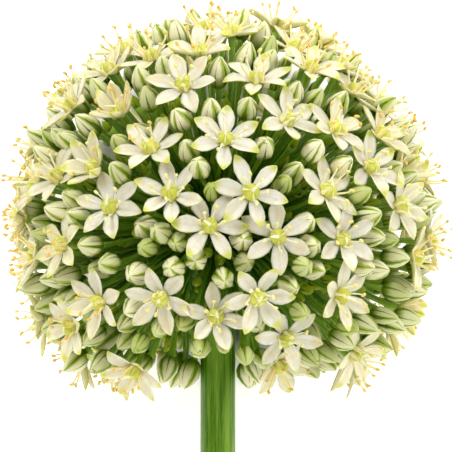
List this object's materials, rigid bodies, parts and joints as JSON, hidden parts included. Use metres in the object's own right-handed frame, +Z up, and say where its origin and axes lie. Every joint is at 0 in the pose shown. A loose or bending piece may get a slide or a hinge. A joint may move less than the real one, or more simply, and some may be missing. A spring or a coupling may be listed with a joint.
{
  "type": "allium flower head",
  "caption": "Cut allium flower head lying on a surface: a ball of white open flowers and green-striped buds on a straight round green stem.",
  "frame": {"origin": "the flat of the pressed bud that the head rests on, straight below the middle of the head, on the surface", "axes": "+Z up from the surface; the stem runs from the head towards -Y and down to the surface, so +Y is the way the top of the head leans; +X to the right of the head seen from above with the stem towards the viewer"},
  "size_m": [0.1217, 0.2235, 0.1209],
  "materials": {
    "scape_green": "smooth satin plant skin with fine lengthwise ribs",
    "flowers_and_buds": "soft petals, creamy white with green ribs, on green pedicels"
  },
  "bodies": {
    "root": {"scape": "scape_green", "umbel": "flowers_and_buds"}
  },
  "joints": []
}
